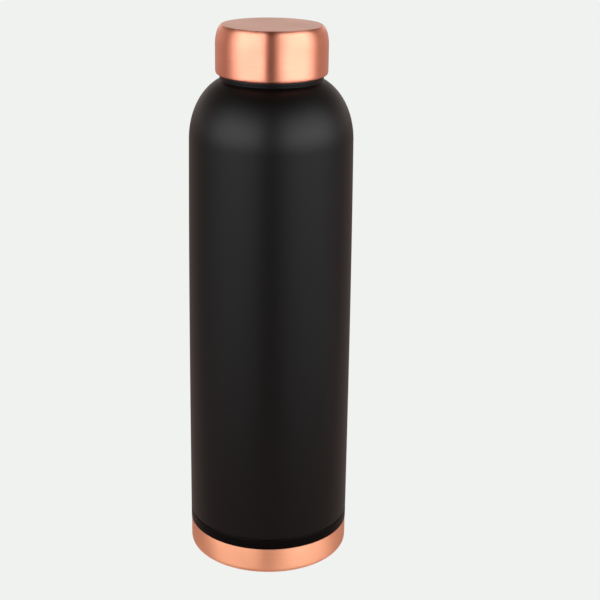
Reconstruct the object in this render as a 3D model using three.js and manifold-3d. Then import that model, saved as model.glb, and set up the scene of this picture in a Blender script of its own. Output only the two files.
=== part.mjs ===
// A one-litre copper water bottle: a drawn copper vessel with a coated outside, a pressed
// base cup, a threaded neck collar, and a screw cap of a copper shell, a moulded insert
// and a silicone washer. Millimetres, +Z up, origin on the floor under the bottle's axis.

import * as THREE from 'three';
import { mergeVertices } from 'three/addons/utils/BufferGeometryUtils.js';
import Module from 'manifold-3d';

const wasm = await Module();
wasm.setup();

// Facets round every turned piece, steps in each turn of a thread, and points along the
// vessel's side and its dome.
const facets = 48;
const threadStepsPerTurn = 32;
const sideSteps = 6;
const domeSteps = 11;

// Clearance between pieces that touch on the real bottle.
const gap = 0.3;

// Vessel: wall, side, domed shoulder and turned-up neck. The side is straight near the
// foot and draws in a little towards the shoulder.
const wall = 0.6;
const sideRadius = 39.15;
const sideBottom = 19.6;
const sideDrawIn = 0.95;
const sideCurve = 2.7;
const shoulderStart = 207.5;
const domeWidth = 21.8;
const domeHeight = 29.6;
const domeFirstAngle = 1.2;
const neckRadius = 24.0;
const neckHeight = 2.2;
const neckTop = 237.6;

// Base cup: it slips over the body's joggled lower end.
const cupRadius = 39.05;
const cupRimHeight = 18.6;
const cupRimChamfer = 0.3;
const bareBandHeight = 13.5;
const coatThickness = 0.1;
const cupWall = 0.7;
const cupCorner = 2.8;
const footInner = 29.0;
const panelRadius = 27.0;
const panelRise = 1.6;
const joggleGap = 0.2;
const bodyEnd = 3.2;

// Neck collar: skirt in the body's neck, flange on its edge, thread and drinking lip.
const mouthRadius = 20.2;
const skirtBottom = 231.0;
const flangeRadius = 23.8;
const flangeThickness = 0.8;
const lipTop = 255.5;
const lipRound = 0.7;

// Single-start right-hand thread, shared by the collar and the insert.
const lead = 4.0;
const collarWallRadius = 21.6;
const collarCrestRadius = 22.6;
const insertWallRadius = 22.9;
const insertCrestRadius = 22.0;
const ridgeRootWidth = 2.0;
const ridgeCrestWidth = 1.2;
const ridgeEmbed = 0.4;
const ridgeFade = 0.12;
const collarThreadStart = 242.6;
const collarThreadTurns = 2.5;
const insertThreadTurns = 2.5;
// The insert's ridge lies just under the collar's, so that tightening pulls the cap down.
const ridgeOffset = -1.8;

// Cap: shell, insert and washer.
const capRadius = 25.9;
const capBottom = 238.1;
const capTop = 260.2;
const capCornerWidth = 3.8;
const capCornerHeight = 8.9;
const capEdgeRise = 0.3;
const rolledEdgeRadius = 24.4;
const rolledCornerWidth = 0.8;
const rolledCornerHeight = 1.6;
const insertTopThickness = 1.6;
const washerInner = 20.5;
const washerOuter = 22.6;

/** Points of an elliptical arc, as [radius, height] pairs; angles in degrees from +radius. */
function arc(centreRadius, centreHeight, width, height, from, to, steps) {
  const points = [];
  for (let i = 0; i <= steps; i += 1) {
    const angle = THREE.MathUtils.degToRad(from + ((to - from) * i) / steps);
    points.push([centreRadius + width * Math.cos(angle), centreHeight + height * Math.sin(angle)]);
  }
  return points;
}

/** Angle in degrees at which an elliptical arc reaches a given share of its half-axis. */
function angleAtCosine(share) {
  return THREE.MathUtils.radToDeg(Math.acos(share));
}

/** Angle in degrees at which an elliptical arc reaches a given share of its height. */
function angleAtSine(share) {
  return THREE.MathUtils.radToDeg(Math.asin(share));
}

/** A solid of revolution about Z. The profile keeps the material on its left as it goes. */
function turned(profile) {
  const points = profile.map(([radius, height]) => new THREE.Vector2(radius, height));
  const geometry = new THREE.LatheGeometry(points, facets);
  geometry.rotateX(Math.PI / 2);
  return geometry;
}

/** A profile that closes on itself, for a ring that doesn't reach the axis. */
function closed(profile) {
  return [...profile, profile[0]];
}

/** A helical ridge of trapezoid section whose ends fade into the wall that carries it. */
function threadRidge(wallRadius, crestRadius, startHeight, turns) {
  const outward = Math.sign(crestRadius - wallRadius);
  const rootRadius = wallRadius - outward * ridgeEmbed;
  const steps = Math.round(turns * threadStepsPerTurn);
  const positions = [];
  for (let i = 0; i <= steps; i += 1) {
    const along = i / steps;
    const turn = along * turns;
    const angle = turn * 2 * Math.PI;
    const height = startHeight + lead * turn;
    const fade = Math.min(1, along / ridgeFade, (1 - along) / ridgeFade);
    const crest = THREE.MathUtils.lerp(wallRadius - outward * ridgeEmbed / 2, crestRadius, fade);
    const section = [
      [rootRadius, height - ridgeRootWidth / 2],
      [crest, height - ridgeCrestWidth / 2],
      [crest, height + ridgeCrestWidth / 2],
      [rootRadius, height + ridgeRootWidth / 2],
    ];
    for (const [radius, z] of section) {
      positions.push(radius * Math.cos(angle), radius * Math.sin(angle), z);
    }
  }
  const corners = 4;
  const triangles = [];
  const addQuad = (a, b, c, d) => {
    const quad = outward > 0 ? [a, b, c, a, c, d] : [a, c, b, a, d, c];
    triangles.push(...quad);
  };
  for (let i = 0; i < steps; i += 1) {
    for (let k = 0; k < corners; k += 1) {
      const next = (k + 1) % corners;
      addQuad(i * corners + k, (i + 1) * corners + k, (i + 1) * corners + next, i * corners + next);
    }
  }
  const last = steps * corners;
  addQuad(0, 1, 2, 3);
  addQuad(last + 3, last + 2, last + 1, last);
  const geometry = new THREE.BufferGeometry();
  geometry.setAttribute('position', new THREE.Float32BufferAttribute(positions, 3));
  geometry.setIndex(triangles);
  return geometry;
}

/** A three.js geometry as a solid that can be joined and cut. */
function toSolid(geometry) {
  const bare = geometry.clone();
  bare.deleteAttribute('normal');
  bare.deleteAttribute('uv');
  const merged = mergeVertices(bare, 1e-4);
  const mesh = new wasm.Mesh({
    numProp: 3,
    vertProperties: new Float32Array(merged.attributes.position.array),
    triVerts: new Uint32Array(merged.index.array),
  });
  return new wasm.Manifold(mesh);
}

/** A joined or cut solid back as a three.js geometry with normals. */
function toGeometry(solid) {
  const mesh = solid.getMesh();
  const geometry = new THREE.BufferGeometry();
  geometry.setAttribute('position', new THREE.Float32BufferAttribute(mesh.vertProperties, 3));
  geometry.setIndex(new THREE.Uint32BufferAttribute(mesh.triVerts, 1));
  geometry.computeVertexNormals();
  return geometry;
}

/** Radius of the vessel's side at a height. */
function sideRadiusAt(height) {
  const share = (height - sideBottom) / (shoulderStart - sideBottom);
  return sideRadius - sideDrawIn * share ** sideCurve;
}

/** The vessel wall from its joggled lower end to the top of its neck. */
function bodyShell() {
  const domeCentre = sideRadiusAt(shoulderStart) - domeWidth;
  const endRadius = cupRadius - cupWall - gap;
  const joggleBottom = cupRimHeight + joggleGap;
  const side = [];
  for (let i = 0; i < sideSteps; i += 1) {
    const height = THREE.MathUtils.lerp(sideBottom, shoulderStart, (i / sideSteps) ** 0.7);
    side.push([sideRadiusAt(height), height]);
  }
  const outerEnd = angleAtCosine((neckRadius + wall - domeCentre) / domeWidth);
  const innerEnd = angleAtCosine((neckRadius - wall - domeCentre) / (domeWidth - wall));
  const outer = [
    [endRadius, bodyEnd],
    [endRadius, joggleBottom],
    ...side,
    ...arc(
      domeCentre,
      shoulderStart,
      domeWidth,
      domeHeight,
      domeFirstAngle,
      outerEnd,
      domeSteps,
    ),
    [neckRadius, neckTop - neckHeight],
    [neckRadius, neckTop],
  ];
  const inner = [
    [neckRadius - wall, neckTop],
    ...arc(
      domeCentre,
      shoulderStart,
      domeWidth - wall,
      domeHeight - wall,
      innerEnd,
      domeFirstAngle,
      domeSteps,
    ),
    ...side.reverse().map(([radius, height]) => [radius - wall, height]),
    [endRadius - wall, joggleBottom],
    [endRadius - wall, bodyEnd],
  ];
  return turned(closed([...outer, ...inner]));
}

/** The base cup: foot ring, raised floor panel, bare band and coated rim. */
function baseCup() {
  const cornerCentre = cupRadius - cupCorner;
  const insideCorner = cupCorner - cupWall;
  const rimRadius = cupRadius + coatThickness;
  return turned([
    [0, panelRise],
    [panelRadius, panelRise],
    [footInner, 0],
    ...arc(cornerCentre, cupCorner, cupCorner, cupCorner, -90, 0, 5),
    [cupRadius, bareBandHeight],
    [rimRadius, bareBandHeight + coatThickness],
    [rimRadius, cupRimHeight - cupRimChamfer],
    [rimRadius - cupRimChamfer, cupRimHeight],
    [cupRadius - cupWall, cupRimHeight],
    ...arc(cornerCentre, cupCorner, insideCorner, insideCorner, 0, -90, 4),
    [footInner, cupWall],
    [panelRadius, panelRise + cupWall],
    [0, panelRise + cupWall],
  ]);
}

/** The neck collar: skirt, flange, threaded wall and rounded drinking lip. */
function neckCollar() {
  const skirtRadius = neckRadius - wall - gap;
  const flangeBottom = neckTop + gap;
  const flangeTop = flangeBottom + flangeThickness;
  const ring = turned(closed([
    [mouthRadius, skirtBottom],
    [skirtRadius, skirtBottom],
    [skirtRadius, flangeBottom],
    [flangeRadius, flangeBottom],
    [flangeRadius, flangeTop],
    [collarWallRadius, flangeTop],
    ...arc(collarWallRadius - lipRound, lipTop - lipRound, lipRound, lipRound, 0, 90, 3),
    ...arc(mouthRadius + lipRound, lipTop - lipRound, lipRound, lipRound, 90, 180, 3),
  ]));
  const ridge = threadRidge(
    collarWallRadius,
    collarCrestRadius,
    collarThreadStart,
    collarThreadTurns,
  );
  return toGeometry(toSolid(ring).add(toSolid(ridge)));
}

/** The cap's copper shell: flat top, rounded shoulder, straight side, rolled-in edge. */
function capShell() {
  const cornerCentre = capRadius - capCornerWidth;
  const cornerStart = capTop - capCornerHeight;
  const cornerHeight = capCornerHeight + capEdgeRise;
  const outerEnd = angleAtSine(capCornerHeight / cornerHeight);
  const innerEnd = angleAtSine((capCornerHeight - wall) / (cornerHeight - wall));
  const rollCentre = capRadius - rolledCornerWidth;
  const rollTop = capBottom + rolledCornerHeight;
  return turned([
    [0, capTop - wall],
    ...arc(cornerCentre, cornerStart, capCornerWidth - wall, cornerHeight - wall, innerEnd, 0, 6),
    [capRadius - wall, capBottom + wall],
    [rolledEdgeRadius, capBottom + wall],
    [rolledEdgeRadius, capBottom],
    ...arc(rollCentre, rollTop, rolledCornerWidth, rolledCornerHeight, -90, 0, 3),
    ...arc(cornerCentre, cornerStart, capCornerWidth, cornerHeight, 0, outerEnd, 6),
    [0, capTop],
  ]);
}

/** The moulded insert: a threaded socket that fills the shell. */
function capInsert() {
  const inset = wall + gap;
  const top = capTop - inset;
  const cornerCentre = capRadius - capCornerWidth;
  const cornerStart = capTop - capCornerHeight;
  const cornerHeight = capCornerHeight + capEdgeRise - inset;
  const cornerEnd = angleAtSine((top - cornerStart) / cornerHeight);
  const bottom = capBottom + wall + gap;
  const socket = turned([
    [0, top - insertTopThickness],
    [insertWallRadius, top - insertTopThickness],
    [insertWallRadius, bottom],
    [capRadius - inset, bottom],
    ...arc(cornerCentre, cornerStart, capCornerWidth - inset, cornerHeight, 0, cornerEnd, 5),
    [0, top],
  ]);
  const ridge = threadRidge(
    insertWallRadius,
    insertCrestRadius,
    collarThreadStart + ridgeOffset,
    insertThreadTurns,
  );
  return toGeometry(toSolid(socket).add(toSolid(ridge)));
}

/** The flat sealing washer between the insert and the lip. */
function capWasher() {
  const bottom = lipTop + gap;
  const top = capTop - wall - gap - insertTopThickness - gap;
  return turned(closed([
    [washerInner, bottom],
    [washerOuter, bottom],
    [washerOuter, top],
    [washerInner, top],
  ]));
}

function finish(color, roughness, metalness) {
  return new THREE.MeshStandardMaterial({ color, roughness, metalness });
}

const blackCoat = finish(0x1c1819, 0.55, 0.1);
const brushedCopper = finish(0xdd946f, 0.35, 1.0);
const turnedCopper = finish(0xd28a62, 0.3, 1.0);
const blackMoulding = finish(0x242424, 0.5, 0.0);
const clearSilicone = finish(0xdcd8d0, 0.6, 0.0);

const pieces = [
  ['body_shell', bodyShell(), blackCoat],
  ['base_cup', baseCup(), brushedCopper.clone()],
  ['neck_collar', neckCollar(), turnedCopper],
  ['cap_shell', capShell(), brushedCopper],
  ['cap_insert', capInsert(), blackMoulding],
  ['cap_gasket', capWasher(), clearSilicone],
];

const bottle = new THREE.Group();
for (const [name, geometry, material] of pieces) {
  const mesh = new THREE.Mesh(geometry, material);
  mesh.name = name;
  bottle.add(mesh);
}

export default bottle;
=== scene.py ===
import math

import bmesh
import bpy
from mathutils import Matrix, Vector


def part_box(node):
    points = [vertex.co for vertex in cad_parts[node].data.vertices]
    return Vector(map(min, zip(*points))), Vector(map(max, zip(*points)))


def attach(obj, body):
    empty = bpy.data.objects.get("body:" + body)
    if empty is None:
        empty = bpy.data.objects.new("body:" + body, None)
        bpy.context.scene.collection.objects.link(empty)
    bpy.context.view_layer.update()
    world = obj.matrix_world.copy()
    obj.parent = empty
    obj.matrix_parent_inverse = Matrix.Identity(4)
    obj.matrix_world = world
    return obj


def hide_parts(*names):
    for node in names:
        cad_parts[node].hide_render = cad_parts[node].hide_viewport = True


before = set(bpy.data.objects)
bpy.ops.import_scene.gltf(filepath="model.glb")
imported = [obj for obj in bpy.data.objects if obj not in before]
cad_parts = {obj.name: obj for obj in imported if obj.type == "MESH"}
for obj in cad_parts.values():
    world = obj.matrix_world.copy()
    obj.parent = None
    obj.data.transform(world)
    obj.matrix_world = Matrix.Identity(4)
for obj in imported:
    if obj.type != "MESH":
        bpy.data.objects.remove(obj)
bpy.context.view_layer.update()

mm = 0.001  # the frame is in metres, the sizes below are in millimetres
print("frame loaded:", ", ".join(sorted(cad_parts)))


def hexToLinear(code):
    channels = [int(code[i:i + 2], 16) / 255 for i in (1, 3, 5)]
    return [c / 12.92 if c <= 0.04045 else ((c + 0.055) / 1.055) ** 2.4 for c in channels] + [1.0]


def addNode(tree, kind, settings=None, links=None):
    # a link is given as a socket, or as a node when its first output is meant
    node = tree.nodes.new("ShaderNode" + kind)
    for key, value in (settings or {}).items():
        if isinstance(key, int) or key in node.inputs:
            node.inputs[key].default_value = value
        else:
            setattr(node, key, value)
    for key, source in (links or {}).items():
        socket = source.outputs[0] if isinstance(source, bpy.types.Node) else source
        tree.links.new(socket, node.inputs[key])
    return node


def newMaterial(name):
    material = bpy.data.materials.new(name)
    material.use_nodes = True
    material.node_tree.nodes.clear()
    return material, material.node_tree


def arc(centre, size, start, end, steps):
    # points of an elliptical arc, angles in degrees from straight out
    points = []
    for i in range(steps + 1):
        angle = math.radians(start + (end - start) * i / steps)
        points.append((centre[0] + size[0] * math.cos(angle), centre[1] + size[1] * math.sin(angle)))
    return points


def softened(points, steps=4):
    # a point with a third value gets a round corner of that radius
    out = []
    for i, point in enumerate(points):
        radius = point[2] if len(point) > 2 else 0
        here = Vector(point[:2])
        if not radius or i in (0, len(points) - 1):
            out.append(tuple(here))
            continue
        back = Vector(points[i - 1][:2]) - here
        ahead = Vector(points[i + 1][:2]) - here
        half = back.angle(ahead) / 2
        # a corner takes less than half of each side, so that two corners never meet
        reach = min(radius / math.tan(half), back.length * 0.49, ahead.length * 0.49)
        first = here + back.normalized() * reach
        last = here + ahead.normalized() * reach
        for k in range(steps + 1):
            t = k / steps
            out.append(tuple(first.lerp(here, t).lerp(here.lerp(last, t), t)))
    return out


roundSteps = 192  # how many steps go round every turned piece
sharpAngle = 42  # faces that meet at more than this many degrees show an edge


def spin(work, rows, finishOf=None):
    # turns a profile about Z; a row is (radius, height), or a function of the angle that gives both
    rings = []
    for row in rows:
        if not callable(row) and row[0] < 1e-6:
            rings.append([work.verts.new((0, 0, row[1] * mm))])
            continue
        ring = []
        for k in range(roundSteps):
            angle = 2 * math.pi * k / roundSteps
            radius, height = row(angle) if callable(row) else row
            x = radius * mm * math.cos(angle)
            y = radius * mm * math.sin(angle)
            ring.append(work.verts.new((x, y, height * mm)))
        rings.append(ring)
    closes = len(rings[0]) > 1 and len(rings[-1]) > 1
    for i in range(len(rings) if closes else len(rings) - 1):
        low, high = rings[i], rings[(i + 1) % len(rings)]
        for k in range(roundSteps):
            n = (k + 1) % roundSteps
            if len(low) == 1:
                corners = (low[0], high[k], high[n])
            elif len(high) == 1:
                corners = (low[k], low[n], high[0])
            else:
                corners = (low[k], low[n], high[n], high[k])
            face = work.faces.new(corners)
            face.material_index = finishOf(i) if finishOf else 0


def finishWhere(rows, test):
    # which rows of a profile take the second finish
    flags = []
    for i, row in enumerate(rows):
        other = rows[(i + 1) % len(rows)]
        flags.append(1 if test((row[0] + other[0]) / 2, (row[1] + other[1]) / 2) else 0)
    return lambda i: flags[i]


def turnedPiece(name, body, node, materials, rows, finishOf=None):
    # one shown piece: its mesh, its body, the CAD node it stands for and its finishes
    work = bmesh.new()
    spin(work, rows, finishOf)
    bmesh.ops.recalc_face_normals(work, faces=work.faces)
    for face in work.faces:
        face.smooth = True
    mesh = bpy.data.meshes.new(name)
    work.to_mesh(mesh)
    work.free()
    mesh.set_sharp_from_angle(angle=math.radians(sharpAngle))
    for material in materials:
        mesh.materials.append(material)
    piece = bpy.data.objects.new(name, mesh)
    bpy.context.scene.collection.objects.link(piece)
    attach(piece, body)
    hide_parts(node)
    print("made", name, len(mesh.polygons), "faces")


# the eye of someone who sits at a table and looks a little down at the bottle; angles are in degrees
eye = {
    "distance": 613.4, "height": 342.9, "pitch": 19.28, "turn": 1.355, "roll": 0.884,
    "lens": 80.5, "sensor": 36,
}


def makeCamera():
    pitch, turn, roll = (math.radians(eye[k]) for k in ("pitch", "turn", "roll"))
    ahead = Vector((math.sin(turn) * math.cos(pitch), math.cos(turn) * math.cos(pitch), -math.sin(pitch)))
    side = Vector((math.cos(turn), -math.sin(turn), 0))
    above = side.cross(ahead)
    right = side * math.cos(roll) + above * math.sin(roll)
    upward = above * math.cos(roll) - side * math.sin(roll)
    data = bpy.data.cameras.new("eye")
    data.lens = eye["lens"]
    data.sensor_width = eye["sensor"]
    camera = bpy.data.objects.new("eye", data)
    turnTo = Matrix((right, upward, -ahead)).transposed()
    camera.matrix_world = Matrix.Translation((0, -eye["distance"] * mm, eye["height"] * mm)) @ turnTo.to_4x4()
    bpy.context.scene.collection.objects.link(camera)
    bpy.context.scene.camera = camera


makeCamera()
print("camera placed")


noiseRange = {"From Min": 0.3, "From Max": 0.7}  # nearly all of a noise lies in here

# brushed copper: turned on a lathe and rubbed round with a fine abrasive belt, then clear-lacquered.
# The lines run round the axis, so a soft lamp is drawn out into a tall bright streak across them.
brushed = {
    "colour": "#FAA98D", "dark": "#F09D81", "roughness": 0.42, "anisotropic": 0.965,
    "lineWidth": 0.35,  # between lines: a real belt leaves 0.05, drawn coarser to show
    "lineLength": 14.0, "lineRadius": 26.0,  # the length holds at this radius
    "lineTint": 0.35,  # how much of the lighter colour the darkest line keeps
    "bump": 0.05, "bumpHeight": 0.02,
    "cloudSize": 18.0, "smoother": 0.04, "rougher": 0.06,  # handling leaves the sheen a little uneven
}


def brushedCopper(name, settings):
    material, tree = newMaterial(name)
    place = addNode(tree, "TexCoord").outputs["Object"]
    axes = addNode(tree, "SeparateXYZ", links={0: place})
    angle = addNode(tree, "Math", {"operation": "ARCTAN2"}, {0: axes.outputs["Y"], 1: axes.outputs["X"]})
    radial = addNode(tree, "CombineXYZ", links={"X": axes.outputs["X"], "Y": axes.outputs["Y"]})
    radius = addNode(tree, "VectorMath", {"operation": "LENGTH"}, {0: radial}).outputs["Value"]
    # lines are thin across the surface (radius on the flat top, height on the side) and long round it
    across = 1 / (settings["lineWidth"] * mm)
    along = settings["lineRadius"] / settings["lineLength"]
    wrap = addNode(tree, "Math", {"operation": "MULTIPLY", 1: along}, {0: angle})
    depth = addNode(tree, "Math", {"operation": "MULTIPLY", 1: across}, {0: radius})
    height = addNode(tree, "Math", {"operation": "MULTIPLY", 1: across}, {0: axes.outputs["Z"]})
    linePlace = addNode(tree, "CombineXYZ", links={"X": wrap, "Y": depth, "Z": height})
    lines = addNode(tree, "TexNoise", {"Scale": 1.0, "Detail": 3.0, "Roughness": 0.6}, {"Vector": linePlace})
    cloudScale = 1 / (settings["cloudSize"] * mm)
    cloud = addNode(tree, "TexNoise", {"Scale": cloudScale, "Detail": 2.0}, {"Vector": place})
    tint = addNode(tree, "MapRange", {**noiseRange, "To Min": settings["lineTint"]}, {"Value": lines})
    shade = addNode(tree, "MixRGB", {
        "Color1": hexToLinear(settings["dark"]), "Color2": hexToLinear(settings["colour"]),
    }, {"Fac": tint})
    rough = addNode(tree, "MapRange", {
        **noiseRange,
        "To Min": settings["roughness"] - settings["smoother"],
        "To Max": settings["roughness"] + settings["rougher"],
    }, {"Value": cloud})
    if "wornFrom" in settings:  # the belt lifts off a rounded shoulder, which stays as smooth as it was drawn
        worn = addNode(tree, "MapRange", {
            "From Min": settings["wornFrom"] * mm, "From Max": settings["wornTo"] * mm,
            "To Min": 1.0, "To Max": settings["wornShare"],
        }, {"Value": axes.outputs["Z"]})
        rough = addNode(tree, "Math", {"operation": "MULTIPLY"}, {0: rough, 1: worn})
    bump = addNode(tree, "Bump", {
        "Strength": settings["bump"], "Distance": settings["bumpHeight"] * mm,
    }, {"Height": lines})
    # the lines follow the tangent round the axis, and a quarter turn lays the streak across them
    tangent = addNode(tree, "Tangent", {"direction_type": "RADIAL", "axis": "Z"})
    shader = addNode(tree, "BsdfPrincipled", {
        "Metallic": 1.0, "Anisotropic": settings["anisotropic"], "Anisotropic Rotation": 0.25,
    }, {"Base Color": shade, "Roughness": rough, "Normal": bump, "Tangent": tangent})
    addNode(tree, "OutputMaterial", links={"Surface": shader})
    return material


# powder coat: dry powder sprayed on, then melted in an oven. It flows into a matt film with a faint
# orange peel, so lamps show only as soft grey glows and the edges lighten a little.
coat = {
    "colour": "#020101", "roughness": 0.4, "specular": 0.2,  # matting wax takes more than half of the shine
    "peel": 1.1,  # between the swells of the orange peel
    "grain": 0.35, "grainShare": 0.4, "unevenness": 0.04, "bump": 0.12, "bumpHeight": 0.03,
}


def powderCoat(name, settings):
    material, tree = newMaterial(name)
    place = addNode(tree, "TexCoord").outputs["Object"]
    peelScale = 1 / (settings["peel"] * mm)
    grainScale = 1 / (settings["grain"] * mm)
    peel = addNode(tree, "TexNoise", {"Scale": peelScale, "Detail": 1.0}, {"Vector": place})
    grain = addNode(tree, "TexNoise", {"Scale": grainScale, "Detail": 2.0}, {"Vector": place})
    share = settings["grainShare"]
    both = addNode(tree, "Math", {"operation": "MULTIPLY_ADD", 1: share}, {0: grain, 2: peel})
    rough = addNode(tree, "MapRange", {
        **noiseRange,
        "To Min": settings["roughness"] - settings["unevenness"],
        "To Max": settings["roughness"] + settings["unevenness"],
    }, {"Value": grain})
    bump = addNode(tree, "Bump", {
        "Strength": settings["bump"], "Distance": settings["bumpHeight"] * mm,
    }, {"Height": both})
    shader = addNode(tree, "BsdfPrincipled", {
        "Base Color": hexToLinear(settings["colour"]), "Specular IOR Level": settings["specular"],
    }, {"Roughness": rough, "Normal": bump})
    addNode(tree, "OutputMaterial", links={"Surface": shader})
    return material


# polypropylene: injection moulded against spark-eroded steel, so its black is satin with a wide soft glow
polypropylene = {"colour": "#242425", "roughness": 0.42, "milky": 0.0}

# silicone rubber: pressed in a mould, milky rather than clear, so light goes a little way in
silicone = {"colour": "#DEDBD3", "roughness": 0.5, "milky": 0.3}

# what both take from the mould's fine texture, and how far light goes into the milky one
mould = {"grain": 0.4, "unevenness": 0.08, "bump": 0.08, "bumpHeight": 0.02, "lightDepth": 2.0}


def mouldedMaterial(name, settings):
    material, tree = newMaterial(name)
    place = addNode(tree, "TexCoord").outputs["Object"]
    grain = addNode(tree, "TexNoise", {"Scale": 1 / (mould["grain"] * mm), "Detail": 2.0}, {"Vector": place})
    rough = addNode(tree, "MapRange", {
        "To Min": settings["roughness"] - mould["unevenness"],
        "To Max": settings["roughness"] + mould["unevenness"],
    }, {"Value": grain})
    bump = addNode(tree, "Bump", {
        "Strength": mould["bump"], "Distance": mould["bumpHeight"] * mm,
    }, {"Height": grain})
    shader = addNode(tree, "BsdfPrincipled", {
        "Base Color": hexToLinear(settings["colour"]),
        "Subsurface Weight": settings["milky"], "Subsurface Radius": [mould["lightDepth"] * mm] * 3,
    }, {"Roughness": rough, "Normal": bump})
    addNode(tree, "OutputMaterial", links={"Surface": shader})
    return material


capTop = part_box("cap_shell")[1].z / mm
copperBrushed = brushedCopper("brushedCopper", {
    **brushed, "wornFrom": capTop - 2.6, "wornTo": capTop - 0.6, "wornShare": 0.66,
})
# the foot is brushed less evenly than the cap, so its streaks are rounder and softer; its lighter, yellower
# colour is painted light, a brighter copy of the cap's copper
copperFootPaintedLight = brushedCopper("brushedCopperFootPaintedLight", {
    **brushed, "colour": "#FBB893", "dark": "#F4AC89", "roughness": 0.447, "anisotropic": 0.7,
})
# the flat top is blasted with fine beads, so it looks alike from every side; its paler, pinker colour is a
# painted sheen, the grazing reflection painted into the copper
copperBlastedPaintedSheen = brushedCopper("blastedCopperPaintedSheen", {
    **brushed, "colour": "#D6B5A7", "dark": "#D1AC9E", "roughness": 0.85, "anisotropic": 0.0, "bump": 0.02,
})
# the inside is left as it was drawn between the dies: redder and darker, with no long streaks
copperDrawn = brushedCopper("drawnCopper", {
    **brushed, "colour": "#C98361", "dark": "#A9644A", "anisotropic": 0.3,
})
# the collar is cut on a lathe and never brushed, so it is shinier
copperTurned = brushedCopper("turnedCopper", {**brushed, "roughness": 0.22, "anisotropic": 0.4})
blackCoat = powderCoat("blackPowderCoat", coat)
# the cup's narrow rim takes a copy of the powder coat with less shine and a little smoother: painted shade
# that makes the rim look blacker
blackEdgePaintedShade = powderCoat("blackPowderEdgePaintedShade", {**coat, "specular": 0.07, "roughness": 0.36})
blackPlastic = mouldedMaterial("mouldedPolypropylene", polypropylene)
washerRubber = mouldedMaterial("siliconeRubber", silicone)
print("materials made")


vessel = {
    "wall": 0.6, "sideBottom": 19.6, "drawIn": 0.95, "drawCurve": 2.7, "shoulderStart": 207.5,
    "domeWidth": 21.8, "domeHeight": 29.6,
    "neckRadius": 24.0, "neckHeight": 2.2, "neckCrease": 0.3, "neckBead": 0.9,
    "joggle": 18.8, "joggleRise": 0.4, "endRadius": 38.05,
    "seamRadius": 39.02,  # the coat fills most of the seam
    "sideSteps": 16, "domeSteps": 28, "insideSteps": 24,
}


def makeVessel():
    low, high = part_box("body_shell")
    sideRadius, bottom, neckTop = high.x / mm, low.z / mm, high.z / mm
    v = vessel
    wall, neck, end = v["wall"], v["neckRadius"], v["endRadius"]
    side = []
    for i in range(v["sideSteps"]):
        share = i / v["sideSteps"]
        height = v["sideBottom"] + (v["shoulderStart"] - v["sideBottom"]) * share
        side.append((sideRadius - v["drawIn"] * share ** v["drawCurve"], height))
    domeCentre = (sideRadius - v["drawIn"] - v["domeWidth"], v["shoulderStart"])
    outerSize = (v["domeWidth"], v["domeHeight"])
    innerSize = (v["domeWidth"] - wall, v["domeHeight"] - wall)
    outerEnd = math.degrees(math.acos((neck + wall - domeCentre[0]) / outerSize[0]))
    innerEnd = math.degrees(math.acos((neck - wall - domeCentre[0]) / innerSize[0]))
    outer = softened([
        (end, bottom), (end, v["joggle"] - v["joggleRise"], 0.1),
        (v["seamRadius"], v["joggle"], 0.3), (*side[0], 0.6), *side[1:],
        *arc(domeCentre, outerSize, 0, outerEnd, v["domeSteps"]),
        (neck - v["neckCrease"], neckTop - v["neckHeight"], 0.2),
        (neck, neckTop - v["neckBead"], 0.6), (neck, neckTop, 0.2),
    ])
    inner = softened([
        (neck - wall, neckTop),
        *arc(domeCentre, innerSize, innerEnd, 0, v["insideSteps"]),
        *((radius - wall, height) for radius, height in side[:0:-1]),
        (side[0][0] - wall, side[0][1], 0.5), (end - wall, v["joggle"], 0.2), (end - wall, bottom),
    ])
    turnedPiece("vesselWall", "bottle", "body_shell", [blackCoat, copperDrawn],
                outer + inner, lambda i: 0 if i < len(outer) - 1 else 1)


makeVessel()

foot = {
    "wall": 0.7, "corner": 2.8, "bandHeight": 13.5, "coat": 0.1, "coatEdge": 0.05, "rimCorner": 0.45,
    "footInner": 29.0, "panel": 27.0, "rise": 1.6,
}


def makeFoot():
    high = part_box("base_cup")[1]
    rim, top = high.x / mm, high.z / mm
    f = foot
    side = rim - f["coat"]
    inside = f["corner"] - f["wall"]
    centre = (side - f["corner"], f["corner"])
    rows = softened([
        (0, f["rise"]), (f["panel"], f["rise"], 1.5), (f["footInner"], 0, 1.0),
        *arc(centre, (f["corner"], f["corner"]), -90, 0, 12),
        (side, f["bandHeight"]), (rim, f["bandHeight"] + f["coatEdge"]),
        (rim, top, f["rimCorner"]), (side - f["wall"], top, 0.2),
        *arc(centre, (inside, inside), 0, -90, 8),
        (f["footInner"], f["wall"], 1.0), (f["panel"], f["rise"] + f["wall"], 1.5),
        (0, f["rise"] + f["wall"]),
    ])
    coated = finishWhere(rows, lambda radius, height: height > f["bandHeight"])
    turnedPiece("footCup", "bottle", "base_cup", [copperFootPaintedLight, blackEdgePaintedShade], rows, coated)


makeFoot()

thread = {
    "lead": 4.0, "turns": 2.5, "start": 242.6,
    "root": 2.0, "crest": 1.2,  # the ridge's width at its foot and at its top
    "fade": 0.12,  # the share of the ridge that rises or sinks at each end
    "offset": -1.8,  # the insert's ridge lies just under the collar's
    "rowStep": 0.22,
}


def smoothStep(x):
    x = min(1.0, max(0.0, x))
    return x * x * (3 - 2 * x)


def ridge(angle, height, start):
    # how far the thread's ridge stands at this place, from 0 to 1
    t = thread
    share = angle / (2 * math.pi)
    turn = round((height - start) / t["lead"] - share) + share
    if turn <= 0 or turn >= t["turns"]:
        return 0.0
    along = turn / t["turns"]
    fade = min(1, along / t["fade"], (1 - along) / t["fade"])
    off = abs(height - start - t["lead"] * turn)
    return smoothStep((t["root"] / 2 - off) / ((t["root"] - t["crest"]) / 2)) * fade


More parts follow.
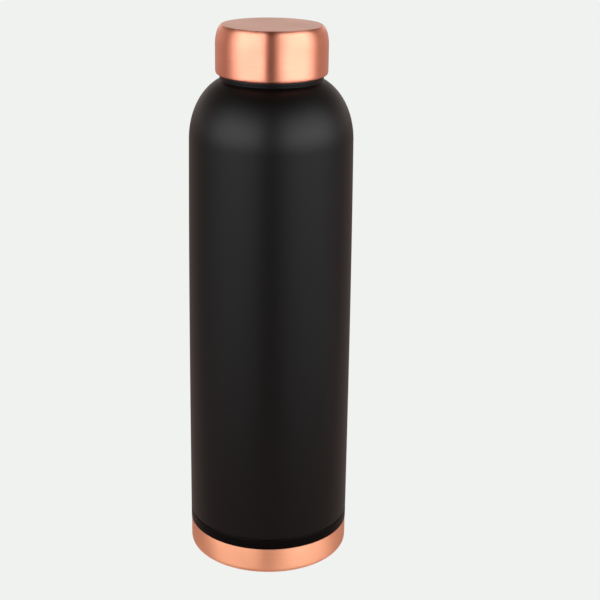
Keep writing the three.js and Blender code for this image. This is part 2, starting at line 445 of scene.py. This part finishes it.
def threadRows(wall, crest, start, low, high):
    count = round((high - low) / thread["rowStep"])
    rows = []
    for i in range(count + 1):
        height = low + (high - low) * i / count
        rows.append(lambda angle, h=height: (wall + (crest - wall) * ridge(angle, h, start), h))
    return rows


collar = {
    "mouth": 20.2, "wall": 21.6, "crest": 22.6, "skirt": 23.1, "lip": 0.7,
    "flangeLift": 0.3, "flange": 0.8, "plainFoot": 1.2, "threadGap": 0.1,
}


def makeCollar():
    low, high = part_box("neck_collar")
    flangeRadius, bottom, top = high.x / mm, low.z / mm, high.z / mm
    c = collar
    lip = c["lip"]
    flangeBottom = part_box("body_shell")[1].z / mm + c["flangeLift"]
    flangeTop = flangeBottom + c["flange"]
    rows = softened([
        (c["mouth"], bottom), (c["skirt"], bottom, 0.3), (c["skirt"], flangeBottom, 0.1),
        (flangeRadius, flangeBottom, 0.2), (flangeRadius, flangeTop, 0.2),
        (c["wall"], flangeTop, 0.3), (c["wall"], flangeTop + c["plainFoot"]),
    ])
    threadLow = flangeTop + c["plainFoot"] + c["threadGap"]
    rows += threadRows(c["wall"], c["crest"], thread["start"], threadLow, top - lip - c["threadGap"])
    rows += arc((c["wall"] - lip, top - lip), (lip, lip), 0, 90, 5)
    rows += arc((c["mouth"] + lip, top - lip), (lip, lip), 90, 180, 5)
    turnedPiece("neckCollar", "bottle", "neck_collar", [copperTurned], rows)


makeCollar()

lid = {
    "wall": 0.6, "cornerWidth": 3.8, "cornerHeight": 8.9, "edgeRise": 0.3, "edgeSoft": 2.0,
    "rolledEdge": 24.4, "rollWidth": 0.8, "rollHeight": 1.6, "rollFlat": 0.2,
    "innerFoot": 3.0, "discRings": (18, 9), "discDepth": 0.05,
}


def makeLid():
    low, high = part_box("cap_shell")
    radius, bottom, top = high.x / mm, low.z / mm, high.z / mm
    k = lid
    wall = k["wall"]
    centre = (radius - k["cornerWidth"], top - k["cornerHeight"])
    outerSize = (k["cornerWidth"], k["cornerHeight"] + k["edgeRise"])
    innerSize = (outerSize[0] - wall, outerSize[1] - wall)
    outerEnd = math.degrees(math.asin(k["cornerHeight"] / outerSize[1]))
    innerEnd = math.degrees(math.asin((k["cornerHeight"] - wall) / innerSize[1]))
    shoulder = arc(centre, outerSize, 0, outerEnd, 18)
    rows = [(0, top - wall), *arc(centre, innerSize, innerEnd, 0, 14)]
    rows += softened([
        (radius - wall, bottom + k["innerFoot"]), (radius - wall, bottom + wall, 0.3),
        (k["rolledEdge"], bottom + wall, 0.25), (k["rolledEdge"], bottom, 0.25),
        (radius - k["rollWidth"] - k["rollFlat"], bottom),
    ])
    rollCentre = (radius - k["rollWidth"], bottom + k["rollHeight"])
    rows += arc(rollCentre, (k["rollWidth"], k["rollHeight"]), -90, 0, 10)
    rows += shoulder[:-3]
    outerRing, innerRing = k["discRings"]
    rows += softened([shoulder[-3], (*shoulder[-1], k["edgeSoft"]), (outerRing, top)], 6)
    rows += [(innerRing, top), (0, top)]
    turnedPiece("capShell", "cap", "cap_shell", [copperBrushed, copperBlastedPaintedSheen],
                rows, finishWhere(rows, lambda radius, height: height > top - k["discDepth"]))


makeLid()

socket = {
    "topWall": 1.6, "wall": 22.9, "crest": 22.0, "gap": 0.3, "bevel": 0.4,
    "threadLow": 0.5, "threadHigh": 0.6, "sideFoot": 3.0,
}


def makeSocket():
    low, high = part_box("cap_insert")
    radius, bottom, top = high.x / mm, low.z / mm, high.z / mm
    s = socket
    wall, ceiling = s["wall"], top - s["topWall"]
    inset = lid["wall"] + s["gap"]
    centre = (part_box("cap_shell")[1].x / mm - lid["cornerWidth"], capTop - lid["cornerHeight"])
    size = (lid["cornerWidth"] - inset, lid["cornerHeight"] + lid["edgeRise"] - inset)
    end = math.degrees(math.asin((top - centre[1]) / size[1]))
    start = thread["start"] + thread["offset"]
    rows = [(0, ceiling), (wall - s["bevel"], ceiling), (wall, ceiling - s["bevel"])]
    rows += threadRows(wall, s["crest"], start, bottom + s["threadLow"], ceiling - s["threadHigh"])[::-1]
    rows += softened([
        (wall, bottom + s["bevel"]), (wall, bottom, 0.2),
        (radius, bottom, 0.3), (radius, bottom + s["sideFoot"]),
    ])
    rows += arc(centre, size, 0, end, 10)
    rows += [(0, top)]
    turnedPiece("capSocket", "cap", "cap_insert", [blackPlastic], rows)


makeSocket()

washer = {"inner": 20.5, "edge": 0.5}  # the edge is a share of half the thickness


def makeWasher():
    low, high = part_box("cap_gasket")
    outer, bottom, top = high.x / mm, low.z / mm, high.z / mm
    half = (top - bottom) / 2
    edge = half * washer["edge"]
    rows = arc((outer - edge, bottom + half), (edge, half), -90, 90, 8)
    rows += arc((washer["inner"] + edge, bottom + half), (edge, half), 90, 270, 8)
    turnedPiece("sealWasher", "cap_seal", "cap_gasket", [washerRubber], rows)


makeWasher()


studio = {
    "paper": "#F0F2F0", "floorHalf": 6000, "floorDrop": 0.2,  # the floor lies just clear of the foot
    # two tall softboxes, placed by how far round from the viewer's side they stand, in degrees
    "boxColour": "#F2F6F9", "boxLow": -11.0, "boxHigh": 31.0, "boxFade": 30.0,
    "leftBox": {"side": -1, "inner": 14, "innerFade": 5, "outer": 84, "outerFade": 24, "power": 6.5},
    "rightBox": {"side": 1, "inner": 16, "innerFade": 16, "outer": 90, "outerFade": 22, "power": 6.8},
    # the rest of the room: warm and dim on the viewer's side, light behind, dark overhead
    "frontColour": "#FF9559", "frontPower": 0.25, "backColour": "#FFEEE5", "backPower": 0.89,
    "frontEnd": 69, "backStart": 120, "overhead": 0.26, "overheadStart": 34,
    # painted light on the table top, seen only by the bottle: a warm glow painted round it, and the lamps'
    # light painted further out
    "paintedTableColour": "#FFE1D7", "paintedTableNear": 0.45, "paintedTableFar": 0.05, "paintedTableGlow": 1.05, "paintedTableBack": 0.36,
    "nearReach": 110, "farReach": 480,
}


def softStep(start, end, low=0.0, high=1.0):
    # settings of a range that begins and ends gently
    return {
        "interpolation_type": "SMOOTHSTEP",
        "From Min": start, "From Max": end, "To Min": low, "To Max": high,
    }


def roundAngle(tree, axes):
    # how far round from the viewer's side a direction or a place lies, in degrees
    ahead = addNode(tree, "Math", {"operation": "MULTIPLY", 1: -1.0}, {0: axes.outputs["Y"]})
    angle = addNode(tree, "Math", {"operation": "ARCTAN2"}, {0: axes.outputs["X"], 1: ahead})
    return addNode(tree, "Math", {"operation": "DEGREES"}, {0: angle})


def boxWindow(tree, around, box, power):
    # a soft-edged window as wide as a softbox
    away = addNode(tree, "Math", {"operation": "MULTIPLY", 1: box["side"]}, {0: around})
    innerEdge = softStep(box["inner"] - box["innerFade"], box["inner"] + box["innerFade"], 0.0, power)
    outerEdge = softStep(box["outer"] + box["outerFade"], box["outer"] - box["outerFade"])
    starts = addNode(tree, "MapRange", innerEdge, {"Value": away})
    ends = addNode(tree, "MapRange", outerEdge, {"Value": away})
    return addNode(tree, "Math", {"operation": "MULTIPLY"}, {0: starts, 1: ends})


def makeFloor():
    s = studio
    half, drop = s["floorHalf"] * mm, s["floorDrop"] * mm
    work = bmesh.new()
    corners = ((-half, -half), (half, -half), (half, half), (-half, half))
    work.faces.new([work.verts.new((x, y, -drop)) for x, y in corners])
    mesh = bpy.data.meshes.new("floor")
    work.to_mesh(mesh)
    work.free()
    material, tree = newMaterial("paleStudioPaper")
    axes = addNode(tree, "SeparateXYZ", links={0: addNode(tree, "TexCoord").outputs["Object"]})
    flat = addNode(tree, "CombineXYZ", links={"X": axes.outputs["X"], "Y": axes.outputs["Y"]})
    reach = addNode(tree, "VectorMath", {"operation": "LENGTH"}, {0: flat}).outputs["Value"]
    around = roundAngle(tree, axes)
    turned = addNode(tree, "Math", {"operation": "ABSOLUTE"}, {0: around})
    start, end = s["nearReach"] * mm, s["farReach"] * mm
    # the floor glows with painted light: a warm glow near the bottle that fades outward, and the lamps' glow
    # and the light behind painted further out
    near = addNode(tree, "MapRange", softStep(start, end, s["paintedTableNear"], s["paintedTableFar"]), {"Value": reach})
    far = addNode(tree, "MapRange", softStep(start, end), {"Value": reach})
    backRange = softStep(s["frontEnd"], s["backStart"], 0.0, s["paintedTableBack"])
    back = addNode(tree, "MapRange", backRange, {"Value": turned})
    behind = addNode(tree, "Math", {"operation": "MULTIPLY"}, {0: back, 1: far})
    glows = [("paintedTableColour", near), ("paintedTableColour", behind)]
    for key in ("leftBox", "rightBox"):
        window = boxWindow(tree, around, s[key], s["paintedTableGlow"])
        glows.append(("boxColour", addNode(tree, "Math", {"operation": "MULTIPLY"}, {0: window, 1: far})))
    lit = None
    for colour, strength in glows:
        glow = addNode(tree, "Emission", {"Color": hexToLinear(s[colour])}, {"Strength": strength})
        lit = addNode(tree, "AddShader", links={0: lit, 1: glow}) if lit else glow
    # the eye sees plain paper, and the bottle sees the table's painted light
    plain = addNode(tree, "Emission", {"Color": hexToLinear(s["paper"]), "Strength": 1.0})
    eyeRay = addNode(tree, "LightPath").outputs["Is Camera Ray"]
    mixed = addNode(tree, "MixShader", links={0: eyeRay, 1: lit, 2: plain})
    addNode(tree, "OutputMaterial", links={"Surface": mixed})
    mesh.materials.append(material)
    floor = bpy.data.objects.new("floor", mesh)
    bpy.context.scene.collection.objects.link(floor)


def makeWorld():
    s = studio
    world = bpy.data.worlds.new("studioRoom")
    bpy.context.scene.world = world
    world.use_nodes = True
    tree = world.node_tree
    tree.nodes.clear()
    axes = addNode(tree, "SeparateXYZ", links={0: addNode(tree, "TexCoord").outputs["Generated"]})
    around = roundAngle(tree, axes)
    turned = addNode(tree, "Math", {"operation": "ABSOLUTE"}, {0: around})
    tilt = addNode(tree, "Math", {"operation": "ARCSINE"}, {0: axes.outputs["Z"]})
    raised = addNode(tree, "Math", {"operation": "DEGREES"}, {0: tilt})
    lowEdge = softStep(s["boxLow"] - s["boxFade"], s["boxLow"] + s["boxFade"])
    highEdge = softStep(s["boxHigh"] + s["boxFade"], s["boxHigh"] - s["boxFade"])
    low = addNode(tree, "MapRange", lowEdge, {"Value": raised})
    high = addNode(tree, "MapRange", highEdge, {"Value": raised})
    band = addNode(tree, "Math", {"operation": "MULTIPLY"}, {0: low, 1: high})
    glows = []
    for key in ("leftBox", "rightBox"):
        window = boxWindow(tree, around, s[key], s[key]["power"])
        glows.append(("boxColour", addNode(tree, "Math", {"operation": "MULTIPLY"}, {0: window, 1: band})))
    above = addNode(tree, "MapRange", softStep(0, s["overheadStart"], 1.0, s["overhead"]), {"Value": raised})
    room = (("frontColour", s["frontPower"], 0.0), ("backColour", 0.0, s["backPower"]))
    for colour, atFront, atBack in room:
        levelRange = softStep(s["frontEnd"], s["backStart"], atFront, atBack)
        level = addNode(tree, "MapRange", levelRange, {"Value": turned})
        glows.append((colour, addNode(tree, "Math", {"operation": "MULTIPLY"}, {0: level, 1: above})))
    lit = None
    for colour, strength in glows:
        glow = addNode(tree, "Background", {"Color": hexToLinear(s[colour])}, {"Strength": strength})
        lit = addNode(tree, "AddShader", links={0: lit, 1: glow}) if lit else glow
    # the eye sees plain paper here too, and the bottle sees the softboxes and the room
    plain = addNode(tree, "Background", {"Color": hexToLinear(s["paper"]), "Strength": 1.0})
    eyeRay = addNode(tree, "LightPath").outputs["Is Camera Ray"]
    mixed = addNode(tree, "MixShader", links={0: eyeRay, 1: lit, 2: plain})
    addNode(tree, "OutputWorld", links={"Surface": mixed})


makeFloor()
makeWorld()
bpy.context.scene.view_settings.view_transform = "Standard"
print("studio lit")
